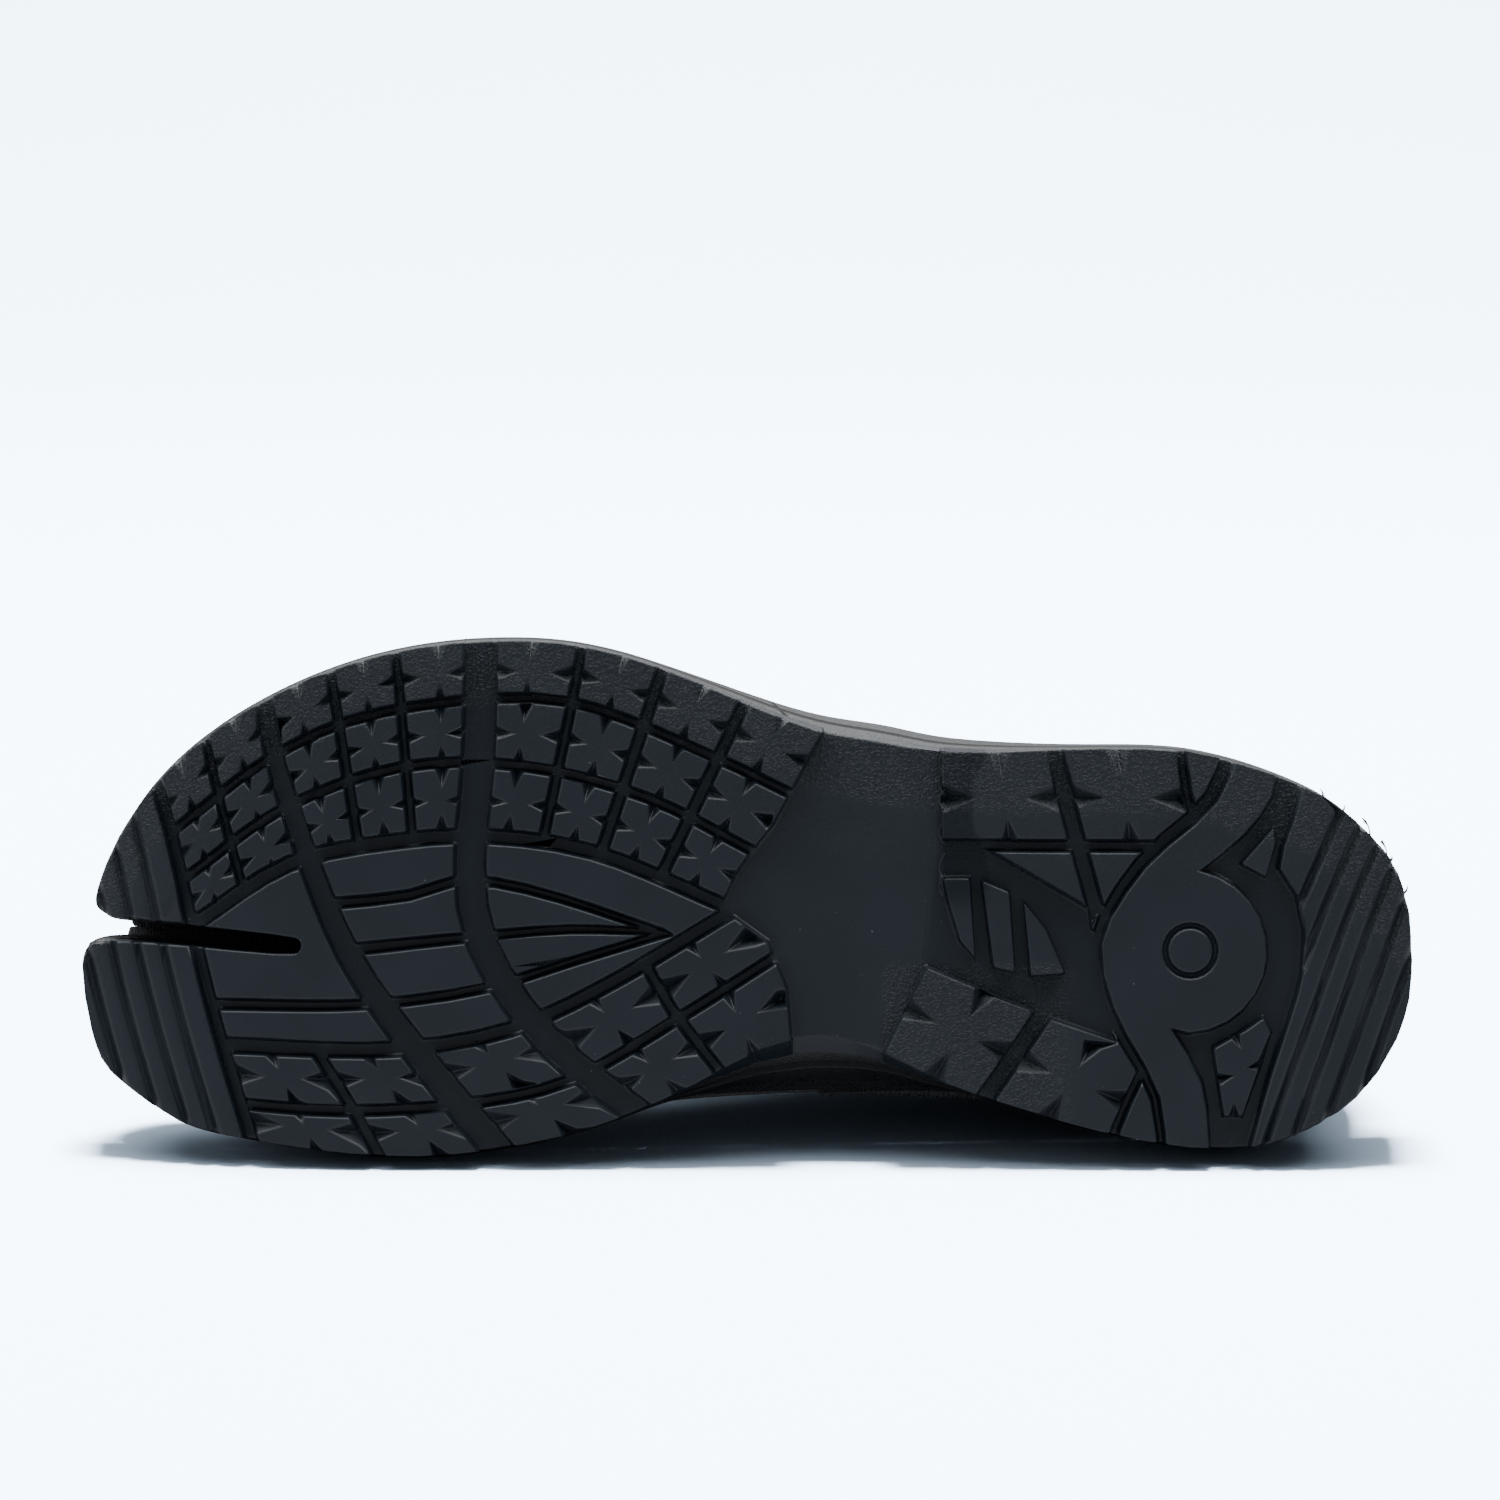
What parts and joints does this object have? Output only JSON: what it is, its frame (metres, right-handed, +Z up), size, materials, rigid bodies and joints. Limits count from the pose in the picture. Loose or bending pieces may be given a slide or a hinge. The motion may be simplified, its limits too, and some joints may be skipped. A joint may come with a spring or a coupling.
{
  "type": "tabi sneaker",
  "caption": "Black split-toe sneaker lying on its side, with a lugged rubber outsole, a foam midsole and a knitted slip-on upper.",
  "frame": {"origin": "centre of the bounding box, on the floor that the shoe lies on", "axes": "+X from the toes to the heel, +Y from the tread towards the collar, +Z up, from the medial side to the lateral side"},
  "size_m": [0.284, 0.1218, 0.1102],
  "materials": {
    "rubber": "matte",
    "foam": "matte",
    "knit": "matte",
    "sock": "matte"
  },
  "bodies": {
    "root": {"outsole": "rubber", "midsole": "foam", "upper": "knit", "insole": "sock"}
  },
  "joints": []
}
